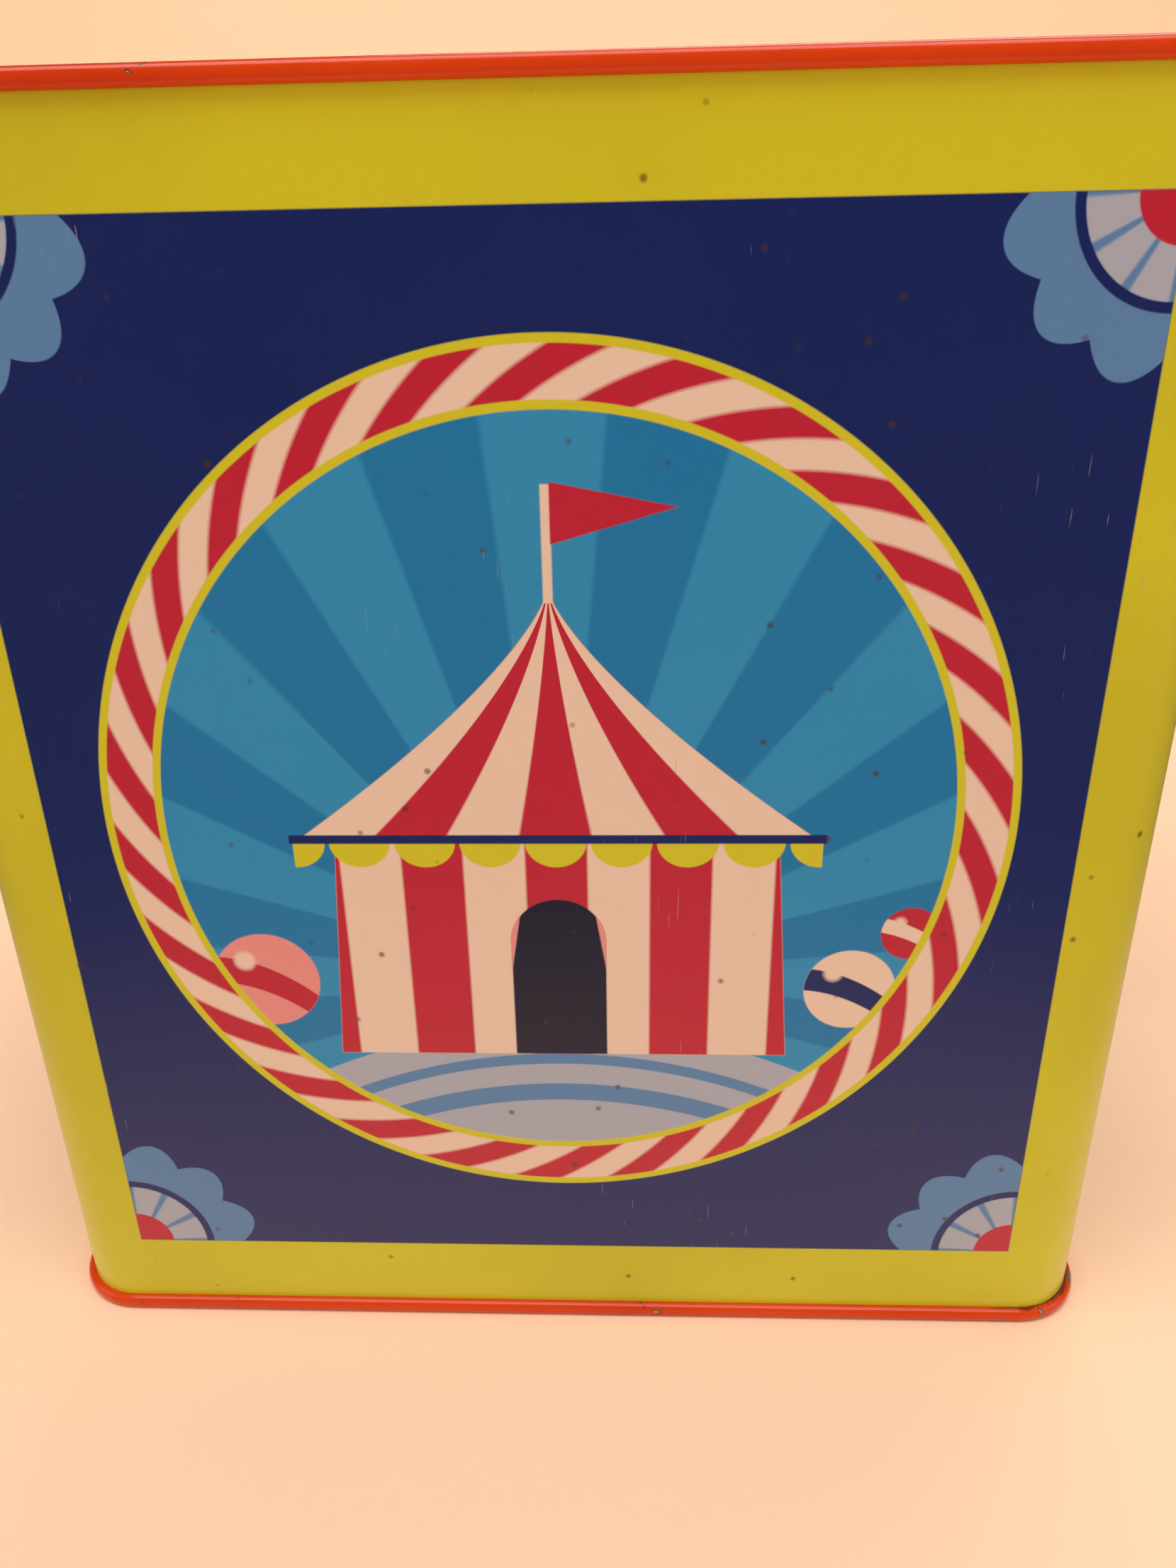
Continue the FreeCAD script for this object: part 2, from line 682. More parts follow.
def slotted_screw(y, z, degrees):
    """One screw through the wall: shank, bevelled head, and a slot turned by an angle about the shank."""
    shank = cylinder("x", ("plate_face - screw_grip", y, z), "screw_radius", "screw_grip + plate_thick + tin")
    head = cylinder("x", ("half_x", y, z), "screw_head", "0.5 * screw_crown")
    bevel = doc.addObject("Part::Cone", "screw_bevel")
    bevel.setExpression("Radius1", bind("screw_head"))
    bevel.setExpression("Radius2", bind("0.7 * screw_head"))
    bevel.setExpression("Height", bind("0.5 * screw_crown"))
    bevel.Placement = Placement(Vector(), AXES["x"])
    place_by(bevel, "half_x + 0.5 * screw_crown", y, z)
    solid = doc.addObject("Part::MultiFuse", "screw_solid")
    solid.Shapes = [shank, head, bevel]
    cos = math.cos(math.radians(degrees))
    sin = math.sin(math.radians(degrees))
    slot = doc.addObject("Part::Box", "screw_slot")
    slot.setExpression("Length", bind("screw_crown"))
    slot.setExpression("Width", bind("3 * screw_head"))
    slot.setExpression("Height", bind("0.3 * screw_head"))
    slot.Placement = Placement(Vector(), Rotation(Vector(1, 0, 0), degrees))
    side = f"{y} - {1.5 * cos - 0.15 * sin:.5f} * screw_head"
    low = f"{z} - {1.5 * sin + 0.15 * cos:.5f} * screw_head"
    place_by(slot, "half_x + 0.45 * screw_crown", side, low)
    screw = doc.addObject("Part::Cut", "wall_screw")
    screw.Base = solid
    screw.Tool = slot
    return screw


def make_pillars_and_screws():
    pillars = []
    for y, z in PILLARS:
        post = cylinder("x", ("inner_face", y, z), "pillar_radius", "plate_face - inner_face")
        depth = "screw_grip + 1"
        bores = [
            cylinder("x", ("inner_face", y, z), "screw_radius + 0.05", depth),
            cylinder("x", (f"plate_face - ({depth})", y, z), "screw_radius + 0.05", depth),
        ]
        both = doc.addObject("Part::MultiFuse", "pillar_bores")
        both.Shapes = bores
        pillar = doc.addObject("Part::Cut", "pillar")
        pillar.Base = post
        pillar.Tool = both
        pillars.append(pillar)
    group = doc.addObject("Part::Compound", "frame_pillars")
    group.Links = pillars
    keep(group, "frame_pillars")
    outside = doc.addObject("Part::Compound", "wall_screws")
    outside.Links = [slotted_screw(y, z, turn) for (y, z), turn in zip(PILLARS, (20, 75, 140, 105))]
    keep(outside, "wall_screws")
    inside = [
        ("inner_back - screw_crown", "screw_crown", "screw_head"),
        ("inner_back", "plate_thick + screw_grip", "screw_radius"),
    ]
    fastener_group("plate_screws", "x", inside, [("0", y, z) for y, z in PILLARS + [BAR_SCREW]])


def make_crank_bush():
    bore = "rod_radius + running_gap"
    start = "plate_face - 1"
    end = "half_x + flange_thick"
    profile = [
        (start, bore),
        (end, bore),
        (end, "bush_flange"),
        ("half_x", "bush_flange"),
        ("half_x", "bush_radius"),
        (start, "bush_radius"),
    ]
    turned_across("crank_bush", profile, "0", "crank_height")


# Toothed wheels: involute flanks, each drawn as one arc through three points of the curve


def involute_point(base, radius):
    """Radius and turning angle of the involute of a base circle."""
    rolled = math.sqrt(max((radius / base) ** 2 - 1, 0))
    return rolled - math.atan(rolled)


def polar(radius, angle):
    return Vector(0, radius * math.cos(angle), radius * math.sin(angle))


def toothed_wheel(teeth, width, bore, first_angle):
    """A spur wheel on the X axis with one tooth centred on first_angle."""
    module = size("gear_module")
    slope = math.radians(size("pressure_angle"))
    pitch = module * teeth / 2
    base = pitch * math.cos(slope)
    tip = pitch + 0.9 * module
    root = pitch - 1.2 * module
    foot = max(base, root)
    half_tooth = math.pi / (2 * teeth) - size("tooth_play") / (2 * pitch)
    at_pitch = involute_point(base, pitch)
    radii = (foot, (foot + tip) / 2, tip)
    leans = [half_tooth + at_pitch - involute_point(base, radius) for radius in radii]
    edges = []
    step = 2 * math.pi / teeth
    for tooth in range(teeth):
        middle = first_angle + tooth * step
        rising = [polar(radius, middle - lean) for radius, lean in zip(radii, leans)]
        falling = [polar(radius, middle + lean) for radius, lean in zip(radii, leans)]
        root_in = polar(root, middle - leans[0])
        root_out = polar(root, middle + leans[0])
        if (root_in - rising[0]).Length > 1e-6:
            edges.append(Part.makeLine(root_in, rising[0]))
        edges.append(Part.Arc(*rising).toShape())
        edges.append(Part.Arc(rising[2], polar(tip, middle), falling[2]).toShape())
        edges.append(Part.Arc(*reversed(falling)).toShape())
        if (root_out - falling[0]).Length > 1e-6:
            edges.append(Part.makeLine(falling[0], root_out))
        next_root = polar(root, middle + step - leans[0])
        edges.append(Part.Arc(root_out, polar(root, middle + step / 2), next_root).toShape())
    blank = Part.Face(Part.Wire(edges)).extrude(Vector(width, 0, 0))
    return blank.cut(Part.makeCylinder(bore, width, Vector(), Vector(1, 0, 0)))


def make_wheels():
    pinion = doc.addObject("Part::Feature", "crank_pinion")
    teeth = round(size("pinion_teeth"))
    gap_down = -math.pi / 2 + math.pi / teeth
    pinion.Shape = toothed_wheel(teeth, size("pinion_width"), size("rod_radius"), gap_down)
    middle = "gear_start + gear_width / 2 - pinion_width / 2"
    place_by(pinion, middle, "0", "crank_height")
    keep(pinion, "crank_pinion")
    gear = doc.addObject("Part::Feature", "drum_gear")
    teeth = round(size("gear_teeth"))
    gear.Shape = toothed_wheel(teeth, size("gear_width"), size("axle_radius"), math.pi / 2)
    place_by(gear, "gear_start", "0", "drum_z")
    keep(gear, "drum_gear")


def place_by(piece, *place):
    """Places a piece by formulas."""
    for letter, text in zip("xyz", place):
        piece.setExpression("Placement.Base." + letter, bind(text))


# Drum, cam, comb


def track_count():
    return math.floor(size("(gear_start - drum_start - 2 * drum_margin) / track_pitch") + 1e-6)


def make_drum():
    radius = size("drum_radius")
    length = size("gear_start - drum_start")
    barrel = Part.makeCylinder(radius, length, Vector(), Vector(1, 0, 0))
    pins = []
    for track in range(track_count()):
        x = size("drum_margin") + (track + 0.5) * size("track_pitch")
        for note in range(3):
            angle = math.radians(17 + 120 * note + 47 * track + 31 * (track * note % 3))
            out = Vector(0, math.cos(angle), math.sin(angle))
            start = Vector(x, 0, 0) + out * (radius - 0.6)
            pins.append(Part.makeCylinder(size("pin_radius"), size("pin_height") + 0.6, start, out))
    bore = Part.makeCylinder(size("axle_radius"), length, Vector(), Vector(1, 0, 0))
    drum = doc.addObject("Part::Feature", "drum_barrel")
    drum.Shape = barrel.multiFuse(pins).cut(bore)
    place_by(drum, "drum_start", "0", "drum_z")
    keep(drum, "drum_barrel")
    end = "wall_x - 0.2"
    start = "inner_back - 1"
    profile = [(start, "0"), (end, "0"), (end, "axle_radius"), (start, "axle_radius")]
    turned_across("drum_axle", profile, "0", "drum_z")


def make_cam():
    body = new_body("trip_cam")
    hub = draw_circle(sketch_on(body, "side", "gear_end", ("0", "drum_z")), ("0", "0"), "axle_radius + 4")
    grow(body, "Pad", hub, "cam_hub + cam_width")

    def rim(radius, turned):
        return (f"{radius} * cos(({turned}) * 1 deg)", f"{radius} * sin(({turned}) * 1 deg)")

    start = "162 - cam_dwell / 2"
    finish = "162 + cam_dwell / 2"
    corners = [
        rim("cam_low", start) + (rim("cam_low", "162"),),
        rim("cam_low", finish),
        rim("cam_high", finish + " + 4") + (rim("cam_high", "342"),),
        rim("cam_high", start + " - 4"),
    ]
    disc = draw_outline(sketch_on(body, "side", "cam_start", ("0", "drum_z")), corners)
    grow(body, "Pad", disc, "cam_width")
    bore = draw_circle(sketch_on(body, "side", "cam_end", ("0", "drum_z")), ("0", "0"), "axle_radius")
    grow(body, "Pocket", bore)


def make_comb():
    body = new_body("music_comb")
    tracks = track_count()
    left = "drum_start + drum_margin"
    corners = [(left, "comb_back"), (left, "comb_tip")]
    for slot in range(1, tracks):
        middle = f"{left} + {slot} * track_pitch"
        share = slot / tracks
        floor = f"comb_tip + {1 - share:.4f} * tine_long + {share:.4f} * tine_short"
        corners += [
            (f"{middle} - tine_slot / 2", "comb_tip"),
            (f"{middle} - tine_slot / 2", floor),
            (f"{middle} + tine_slot / 2", floor),
            (f"{middle} + tine_slot / 2", "comb_tip"),
        ]
    right = f"{left} + {tracks} * track_pitch"
    corners += [(right, "comb_tip"), (right, "comb_back")]
    plate = draw_outline(sketch_on(body, "top", "drum_z"), corners)
    for place in COMB_SCREWS:
        draw_circle(plate, place, "screw_radius + 0.05")
    grow(body, "Pad", plate, "comb_thick")

    bar = new_body("comb_base")
    block = sketch_on(bar, "top", "drum_z - bar_height")
    draw_box(block, "inner_face", "plate_face", "bar_front", "comb_back")
    grow(bar, "Pad", block, "bar_height")
    wells = sketch_on(bar, "top", "drum_z")
    for place in COMB_SCREWS:
        draw_circle(wells, place, "screw_radius + 0.05")
    grow(bar, "Pocket", wells, "bar_height / 2 - screw_radius - 0.4")
    end = draw_circle(sketch_on(bar, "side", "inner_face"), BAR_SCREW, "screw_radius + 0.05")
    grow(bar, "Pocket", end, "screw_grip + 1", True)
    comb_shank = "bar_height / 2 - screw_radius - 0.6 + comb_thick"
    steps = [
        ("drum_z - bar_height / 2 + screw_radius + 0.6", comb_shank, "screw_radius"),
        ("drum_z + comb_thick", "screw_crown", "screw_head"),
    ]
    fastener_group("comb_screws", "z", steps, [(x, y, "0") for x, y in COMB_SCREWS])


# Catch and trip lever


def make_catch():
    body = new_body("catch_spring")
    front = "catch_y"
    back = "catch_y + catch_thick"
    top = "catch_nose + 5"
    corners = [
        (front, "tab_low + 0.5"),
        (back, "tab_low + 0.5"),
        (back, "catch_nose - 5"),
        ("catch_y - nose_reach + catch_thick + 0.2", "catch_nose"),
        (back, "catch_nose + 2"),
        (back, top),
        (front, top),
        (front, "catch_nose + 2"),
        ("catch_y - nose_reach", "catch_nose"),
        (front, "catch_nose - 5"),
    ]
    strip = draw_outline(sketch_on(body, "side", "catch_x - catch_width / 2 + 1.2"), corners)
    grow(body, "Pad", strip, "catch_width - 2.4")
    foot = draw_box(
        sketch_on(body, "side", "catch_x - catch_width / 2"),
        front,
        back,
        "tab_low + 0.5",
        "catch_nose - 7",
    )
    grow(body, "Pad", foot, "catch_width")
    holes = sketch_on(body, "front", "catch_setback + 1")
    for place in CATCH_RIVETS:
        draw_circle(holes, place, "rivet_radius")
    grow(body, "Pocket", holes, "catch_thick + 2")
    steps = [
        ("catch_y - 0.5", "0.5", "rivet_radius + 0.8"),
        ("catch_y - 0.2", "catch_thick + plate_thick + 0.4", "rivet_radius"),
        ("catch_y + catch_thick + plate_thick", "0.6", "rivet_radius + 0.8"),
    ]
    fastener_group("catch_rivets", "y", steps, [(x, "0", z) for x, z in CATCH_RIVETS])


def make_lever():
    body = new_body("trip_lever")
    start = "cam_start + cam_width / 2 - lever_thick / 2"

    def along(distance, out):
        """A point of the toe arm, measured from the pivot along the arm and away from the drum."""
        return (
            f"lever_y + {DIAGONAL:.5f} * (({distance}) - ({out}))",
            f"lever_z + {DIAGONAL:.5f} * (({distance}) + ({out}))",
        )

    hub = draw_circle(sketch_on(body, "side", start), ("lever_y", "lever_z"), "lever_hub")
    grow(body, "Pad", hub, "lever_thick")
    toe = [
        along("0", "3"),
        along("lever_arm - 3", "3"),
        along("lever_arm - 1.2", "0"),
        along("lever_arm + 1.2", "0"),
        along("lever_arm + 3", "3"),
        along("lever_arm + 3", "8"),
        along("0", "8"),
    ]
    grow(body, "Pad", draw_outline(sketch_on(body, "side", start), toe), "lever_thick")
    touch = "catch_y - toe_gap"
    tail = [
        ("lever_y - 3", "lever_z"),
        ("lever_y + 2", "lever_z"),
        ("lever_y + 2", "finger_z - 3"),
        (touch, "finger_z - 3"),
        (touch, "finger_z + 3"),
        ("lever_y - 3", "finger_z + 3"),
    ]
    grow(body, "Pad", draw_outline(sketch_on(body, "side", start), tail), "lever_thick")
    bore = draw_circle(
        sketch_on(body, "side", "cam_end"), ("lever_y", "lever_z"), "lever_pivot + running_gap"
    )
    grow(body, "Pocket", bore)
    lever_back = "(cam_start + cam_width / 2 + lever_thick / 2 + toe_gap)"
    lever_face = "(cam_start + cam_width / 2 - lever_thick / 2 - toe_gap)"
    profile = [
        (f"{lever_face} - 1", "0"),
        ("wall_x - 0.2", "0"),
        ("wall_x - 0.2", "lever_pivot"),
        ("plate_face", "lever_pivot"),
        ("plate_face", "lever_pivot + 1.5"),
        (lever_back, "lever_pivot + 1.5"),
        (lever_back, "lever_pivot"),
        (lever_face, "lever_pivot"),
        (lever_face, "lever_pivot + 1.5"),
        (f"{lever_face} - 1", "lever_pivot + 1.5"),
    ]
    turned_across("lever_pin", profile, "lever_y", "lever_z")


# Crank and knob


def make_crank():
    body = new_body("crank_rod")
    bend = "crank_bend"
    reach = f"{DIAGONAL:.5f} * crank_bend"
    path = sketch_on(body, "front")
    run = [
        ("rod_start", "crank_height"),
        (f"crank_x - {bend}", "crank_height"),
        ("crank_x", f"crank_height + {bend}"),
        ("crank_x", f"knob_z - {bend}"),
        (f"crank_x + {bend}", "knob_z"),
        ("rod_end", "knob_z"),
    ]
    middles = {
        1: (f"crank_x - {bend} + {reach}", f"crank_height + {bend} - {reach}"),
        3: (f"crank_x + {bend} - {reach}", f"knob_z - {bend} + {reach}"),
    }
    draw_run(path, run, middles)
    ring = draw_circle(sketch_on(body, "side", "rod_start", ("0", "crank_height")), ("0", "0"), "rod_radius")
    doc.recompute()
    rod = body.newObject("PartDesign::AdditivePipe", "rod_sweep")
    rod.Profile = ring
    rod.Spine = (path, [])
    doc.recompute()
    collar_steps = [
        ("inner_back - collar_width - 0.3", "collar_width"),
        ("plate_face - 1.3 - collar_width", "collar_width"),
    ]
    rings = []
    for start, width in collar_steps:
        ring_cut = doc.addObject("Part::Cut", "collar_one")
        ring_cut.Base = cylinder("x", (start, "0", "crank_height"), "collar_ring", width)
        ring_cut.Tool = cylinder("x", (start, "0", "crank_height"), "rod_radius", width)
        rings.append(ring_cut)
    group = doc.addObject("Part::Compound", "crank_collars")
    group.Links = rings
    keep(group, "crank_collars")


def draw_run(sketch, run, middles):
    """An open line through points, with arcs where a middle point is given."""
    last = None
    for index in range(len(run) - 1):
        start = spot(run[index])
        finish = spot(run[index + 1])
        if index in middles:
            element = sketch.addGeometry(Part.ArcOfCircle(start, spot(middles[index]), finish), False)
            middle = sketch.addGeometry(Part.Point(spot(middles[index])), True)
            hold(sketch, middle, 1, middles[index])
            sketch.addConstraint(Sketcher.Constraint("PointOnObject", middle, 1, element))
        else:
            element = sketch.addGeometry(Part.LineSegment(start, finish), False)
        forward = (sketch.getPoint(element, 1) - start).Length < (sketch.getPoint(element, 2) - start).Length
        first, final = (1, 2) if forward else (2, 1)
        hold(sketch, element, first, run[index])
        if last:
            sketch.addConstraint(Sketcher.Constraint("Coincident", *last, element, first))
        last = (element, final)
    hold(sketch, *last, run[-1])


def make_knob():
    bore = "rod_radius + 0.08"

    def belly(share, fullness):
        return (f"knob_start + {share} * knob_length", f"{fullness} * knob_radius")

    profile = [
        ("knob_start", bore),
        ("knob_end", bore),
        belly(1, 0.5) + (belly(0.91, 0.84),),
        belly(0.62, 1) + (belly(0.28, 0.85),),
        belly(0, 0.52),
    ]
    turned_across("crank_knob", profile, "0", "knob_z")
    start = "knob_end + knob_play"
    blind = f"{start} + 0.7 * cap_height"
    end = f"{start} + cap_height"
    cap = [
        (start, "rod_radius"),
        (blind, "rod_radius"),
        (blind, "0"),
        (end, "0"),
        (end, "cap_radius - 0.8"),
        (start, "cap_radius"),
    ]
    turned_across("knob_cap", cap, "0", "knob_z")


# Puppet: spring, costume, plug


def make_spring_plate():
    top = "seat_z"
    rise = "seat_z + boss_height"
    profile = [
        ("0", "floor_top"),
        ("seat_radius", "floor_top"),
        ("seat_radius", top),
        ("boss_radius", top),
        ("boss_radius", rise),
        ("boss_radius - 1", rise),
        ("boss_radius - 1", top),
        ("0", top),
    ]
    body = turned_upright("spring_plate", profile)
    holes = sketch_on(body, "top", "seat_z")
    for place in SEAT_RIVETS:
        draw_circle(holes, place, "rivet_radius")
    grow(body, "Pocket", holes)
    steps = [
        ("base_recess - 0.6", "0.6", "rivet_radius + 0.8"),
        ("base_recess - 0.3", "tin + seat_thick + 0.6", "rivet_radius"),
        ("seat_z", "0.7", "rivet_radius + 0.8"),
    ]
    fastener_group("plate_rivets", "z", steps, [(x, y, "0") for x, y in SEAT_RIVETS])


def biarc(start, start_way, end, end_way):
    """Two arcs that leave start along start_way and reach end along end_way without a kink."""
    gap = end - start
    ways = start_way + end_way
    a = 2 * (1 - start_way.dot(end_way))
    b = 2 * gap.dot(ways)
    c = -gap.dot(gap)
    reach = -c / b if abs(a) < 1e-9 else (-b + math.sqrt(b * b - 4 * a * c)) / (2 * a)
    joint = (start + start_way * reach + end - end_way * reach) * 0.5
    arcs = []
    for first, way, last in ((start, start_way, joint), (end, end_way * -1, joint)):
        chord = last - first
        normal = chord - way * chord.dot(way)
        radius = chord.dot(chord) / (2 * normal.Length)
        centre = first + normal * (radius / normal.Length)
        middle = centre + ((first + last) * 0.5 - centre).normalize() * radius
        arcs.append((first, middle, last))
    first_arc, second_arc = arcs
    return [Part.Arc(*first_arc).toShape(), Part.Arc(*reversed(second_arc)).toShape()]


def coil_path(radius, rise, turns, tail):
    """A helix of quarter-turn arc pairs about Z with a straight tail of the given length at each end."""
    quarters = 4 * turns
    climb = rise / quarters
    slope = math.atan2(rise / turns, 2 * math.pi * radius)

    def point(step):
        angle = step * math.pi / 2
        return Vector(radius * math.cos(angle), radius * math.sin(angle), climb * step)

    def way(step):
        angle = step * math.pi / 2
        level = math.cos(slope)
        return Vector(-math.sin(angle) * level, math.cos(angle) * level, math.sin(slope))

    edges = [Part.makeLine(point(0) - way(0) * tail, point(0))]
    for step in range(quarters):
        edges += biarc(point(step), way(step), point(step + 1), way(step + 1))
    edges.append(Part.makeLine(point(quarters), point(quarters) + way(quarters) * tail))
    return Part.Wire(edges)


def least_gap(path, wire):
    """Least room between two turns of a wire, measured on points a millimetre apart along it."""
    points = path.discretize(Distance=1.0)
    apart = math.ceil(4 * wire)
    least = min(
        here.distanceToPoint(there)
        for index, here in enumerate(points)
        for there in points[index + apart :]
    )
    return least - wire


def make_spring():
    wire = size("spring_wire")
    low = size("seat_z") + 0.3 + wire / 2
    high = size("plug_z") - 0.3 - wire / 2
    turns = max(math.floor((high - low) / size("spring_pitch")), 1)
    path = coil_path(size("spring_radius"), high - low, turns, wire)
    start = path.Edges[0]
    tip = start.FirstParameter
    ring = Part.makeCircle(wire / 2, start.valueAt(tip), start.tangentAt(tip))
    spring = doc.addObject("Part::Feature", "main_spring")
    spring.Shape = path.makePipeShell([Part.Wire(ring)], True, False)
    place_by(spring, "puppet_x", "0", "seat_z + 0.3 + spring_wire / 2")
    keep(spring, "main_spring")
    print("least gap between coils", round(least_gap(path, wire), 3))


def make_costume():
    start = "(seat_z + 0.2)"
    height = "(spring_rest - 0.4)"
    folds = max(math.floor(size(f"{height} / fold_pitch")), 1)
    profile = []
    for fold in range(folds):
        low = f"{start} + {fold / folds:.5f} * {height}"
        middle = f"{start} + {(fold + 0.5) / folds:.5f} * {height}"
        profile.append(("cloth_outer", low, ("cloth_outer + fold_depth", middle)))
    finish = f"{start} + {height}"
    profile += [("cloth_outer", finish), ("cloth_inner", finish), ("cloth_inner", start)]
    turned_upright("costume", profile)


def make_neck_plug():
    low = "plug_z - boss_height"
    top = "collar_z + spigot_height"
    profile = [
        ("0", low),
        ("boss_radius", low),
        ("boss_radius", "plug_z"),
        ("plug_radius", "plug_z"),
        ("plug_radius", "collar_z"),
        ("spigot_radius", "collar_z"),
        ("spigot_radius", top),
        ("0", top),
    ]
    turned_upright("neck_plug", profile)


# Puppet: soft and stuffed pieces


def scalloped(radius, depth, lobes):
    """A ring of outward arcs about Z."""
    edges = []
    step = 2 * math.pi / lobes
    for lobe in range(lobes):
        ends = [
            Vector((radius - depth) * math.cos(angle), (radius - depth) * math.sin(angle), 0)
            for angle in (lobe * step, (lobe + 1) * step)
        ]
        middle = (lobe + 0.5) * step
        crest = Vector(radius * math.cos(middle), radius * math.sin(middle), 0)
        edges.append(Part.Arc(ends[0], crest, ends[1]).toShape())
    return Part.Wire(edges)


def make_collar():
    height = size("collar_height") - 0.4
    outer = size("collar_radius")
    levels = [(0, 0.86), (0.5, 1), (1, 0.8)]
    rings = []
    for share, fullness in levels:
        ring = scalloped(outer * fullness, 0.13 * outer * fullness, 12)
        ring.translate(Vector(0, 0, share * height))
        rings.append(ring)
    ruffle = Part.makeLoft(rings, True, True)
    hole = Part.makeCylinder(size("spigot_radius") + 0.3, height + 2, Vector(0, 0, -1))
    collar = doc.addObject("Part::Feature", "collar")
    collar.Shape = ruffle.cut(hole)
    place_by(collar, "puppet_x", "0", "collar_z + 0.2")
    keep(collar, "collar")


def make_arm(side, sign):
    """One stuffed arm, hanging beside the puppet's axis, and its mitten."""
    length = 0.6 * size("spring_rest")
    full = size("arm_radius")
    offset = size("arm_offset")
    stations = [(3.5, 0.62), (1.0, 0.84), (-0.35 * length, 1.0), (-0.7 * length, 0.86), (-length, 0.92)]
    rings = []
    for height, share in stations:
        ring = Part.makeCircle(full * share, Vector(sign * offset, 0, height))
        rings.append(Part.Wire(ring))
    arm = Part.makeLoft(rings, True)
    reach = offset - size("plug_radius")
    tab = Part.makeCylinder(1.3, reach, Vector(sign * size("plug_radius"), 0, 1.5), Vector(sign, 0, 0))
    gripped = Part.makeCylinder(size("plug_radius"), 6, Vector(0, 0, -1))
    sleeve = doc.addObject("Part::Feature", "sleeve_" + side)
    sleeve.Shape = arm.fuse(tab).cut(gripped)
    place_by(sleeve, "puppet_x", "0", "plug_z")
    keep(sleeve, "sleeve_" + side)

    height = 0.36 * size("spring_rest")
    palm = Part.makeSphere(1)
    stretch = FreeCAD.Matrix()
    stretch.scale(Vector(0.72 * full, 0.95 * full, height / 2))
    palm = palm.transformGeometry(stretch)
    palm.translate(Vector(sign * offset, 0, -length - height / 2))
    thumb = Part.makeSphere(0.4 * full)
    thumb.translate(Vector(sign * offset, -0.95 * full, -length - 0.42 * height))
    cuff = Part.makeCylinder(0.5 * full, 0.3 * height, Vector(sign * offset, 0, -length - 0.3 * height))
    hand = doc.addObject("Part::Feature", "hand_" + side)
    hand.Shape = palm.fuse([thumb, cuff])
    place_by(hand, "puppet_x", "0", "plug_z")
    keep(hand, "hand_" + side)


def make_head():
    bore = "spigot_radius + 0.1"
    roof = "collar_z + spigot_height + 0.5"
    crown = "head_z + sqrt(head_radius * head_radius - 1)"
    slant = f"{DIAGONAL:.5f} * head_radius"
    profile = [
        (bore, "neck_z"),
        ("neck_radius", "neck_z"),
        ("neck_radius", "neck_z + 0.7 * neck_height", ("0.68 * head_radius", "head_z - 0.84 * head_radius")),
        ("head_radius", "head_z", (slant, f"head_z + {slant}")),
        ("1", crown),
        ("0", crown),
        ("0", roof),
        (bore, roof),
    ]
    head = turned_upright("head", profile)

    ball = doc.addObject("Part::Sphere", "nose_ball")
    ball.setExpression("Radius", bind("nose_radius"))
    place_by(ball, "puppet_x", "-(head_radius + 0.45 * nose_radius)", "head_z - 0.12 * head_radius")
    nose = doc.addObject("Part::Cut", "nose")
    nose.Base = ball
    nose.Tool = head
    keep(nose, "nose")

    for side, sign in (("left", -1), ("right", 1)):
        tuft = doc.addObject("Part::Feature", "hair_" + side)
        tuft.Shape = hair_tuft(sign, head.Shape)
        place_by(tuft, "puppet_x", "0", "head_z")
        keep(tuft, "hair_" + side)


def hair_tuft(sign, head_shape):
    """Curls of hair at one side of the head, below the brim."""
    curl = size("hair_radius")
    radius = size("head_radius")
    balls = []
    for back, up, share in ((0.15, 0.02, 1.0), (0.55, -0.06, 0.86), (-0.12, -0.22, 0.72), (0.4, -0.36, 0.8)):
        ball = Part.makeSphere(curl * share)
        ball.translate(Vector(sign * (0.93 - 0.2 * abs(back)) * radius, back * radius, up * radius))
        balls.append(ball)
    head_here = head_shape.copy()
    head_here.translate(Vector(-size("puppet_x"), 0, -size("head_z")))
    return balls[0].fuse(balls[1:]).cut(head_here)


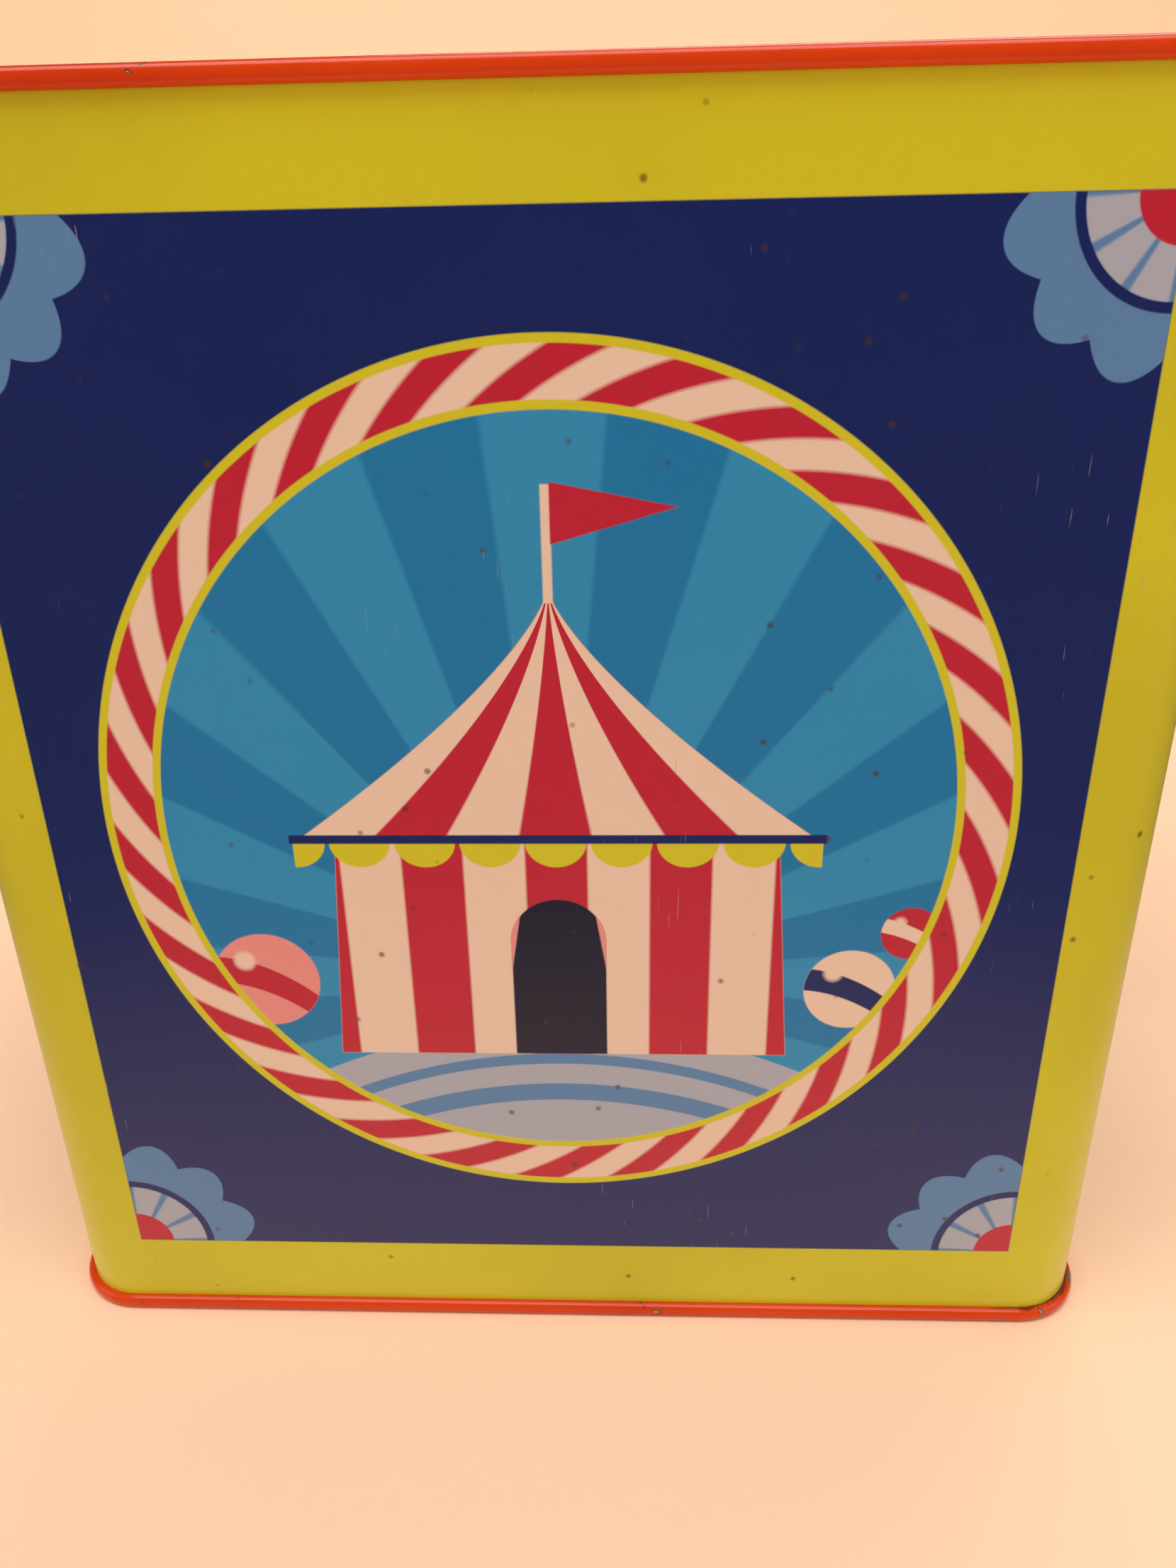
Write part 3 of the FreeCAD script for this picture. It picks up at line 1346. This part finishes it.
def make_hat():
    clear = "(head_radius + 0.25)"

    def skull(level):
        """Radius of the clearance over the head at a level."""
        return f"sqrt({clear} * {clear} - ({level} - head_z) * ({level} - head_z))"

    low = "brim_z"
    top = "hat_z"
    middle = "(brim_z + brim_height / 2)"
    outer = f"{skull(low)} + brim_width"
    brim = [
        (skull(low), low),
        (f"{skull(low)} + 0.4 * brim_width", low, (outer, middle)),
        (f"{skull(low)} + 0.4 * brim_width", top),
        (skull(top), top, (skull(middle), middle)),
    ]
    turned_upright("hat_brim", brim)
    tip = "(pompom_z - 0.8 * pompom_radius)"
    wall = f"{skull(low)} + 0.25 * brim_width"
    half = f"(({tip} + hat_z) / 2)"
    bend = f"({clear} * {DIAGONAL:.5f})"
    inner_middle = f"({skull(top)}) / 2"
    roof_middle = f"head_z + sqrt({clear} * {clear} - {inner_middle} * {inner_middle})"
    cone = [
        (skull(top), top),
        (wall, top, (f"0.44 * ({wall})", half)),
        ("2.2", tip),
        ("0", tip),
        ("0", f"head_z + {clear}", (inner_middle, roof_middle)),
    ]
    hat = turned_upright("hat", cone)
    ball = doc.addObject("Part::Sphere", "pompom_ball")
    ball.setExpression("Radius", bind("pompom_radius"))
    place_by(ball, "puppet_x", "0", "pompom_z")
    pompom = doc.addObject("Part::Cut", "hat_pompom")
    pompom.Base = ball
    pompom.Tool = hat
    keep(pompom, "hat_pompom")


# Build, check and write every piece

make_body_shell()
make_base_pan()
make_top_ring()
make_hinge_pin()
make_lid_panel()
make_striker()
make_plates()
make_pillars_and_screws()
make_crank_bush()
make_wheels()
make_drum()
make_cam()
make_comb()
make_catch()
make_lever()
make_crank()
make_knob()
make_spring_plate()
make_spring()
make_costume()
make_neck_plug()
make_collar()
make_arm("left", -1)
make_arm("right", 1)
make_head()
make_hat()
doc.recompute()

for item in doc.Objects:
    if "Invalid" in item.State or "Error" in item.State:
        raise RuntimeError(f"{item.Label} did not build: {item.State}")

os.makedirs("parts", exist_ok=True)
for label, piece in pieces.items():
    shape = piece.Shape
    if shape.isNull() or not shape.isValid():
        raise RuntimeError(f"{label} has no valid shape")
    shape.exportStep(f"parts/{label}.step")
    print(label, len(shape.Solids), "solid", round(shape.Volume, 1), "mm3")
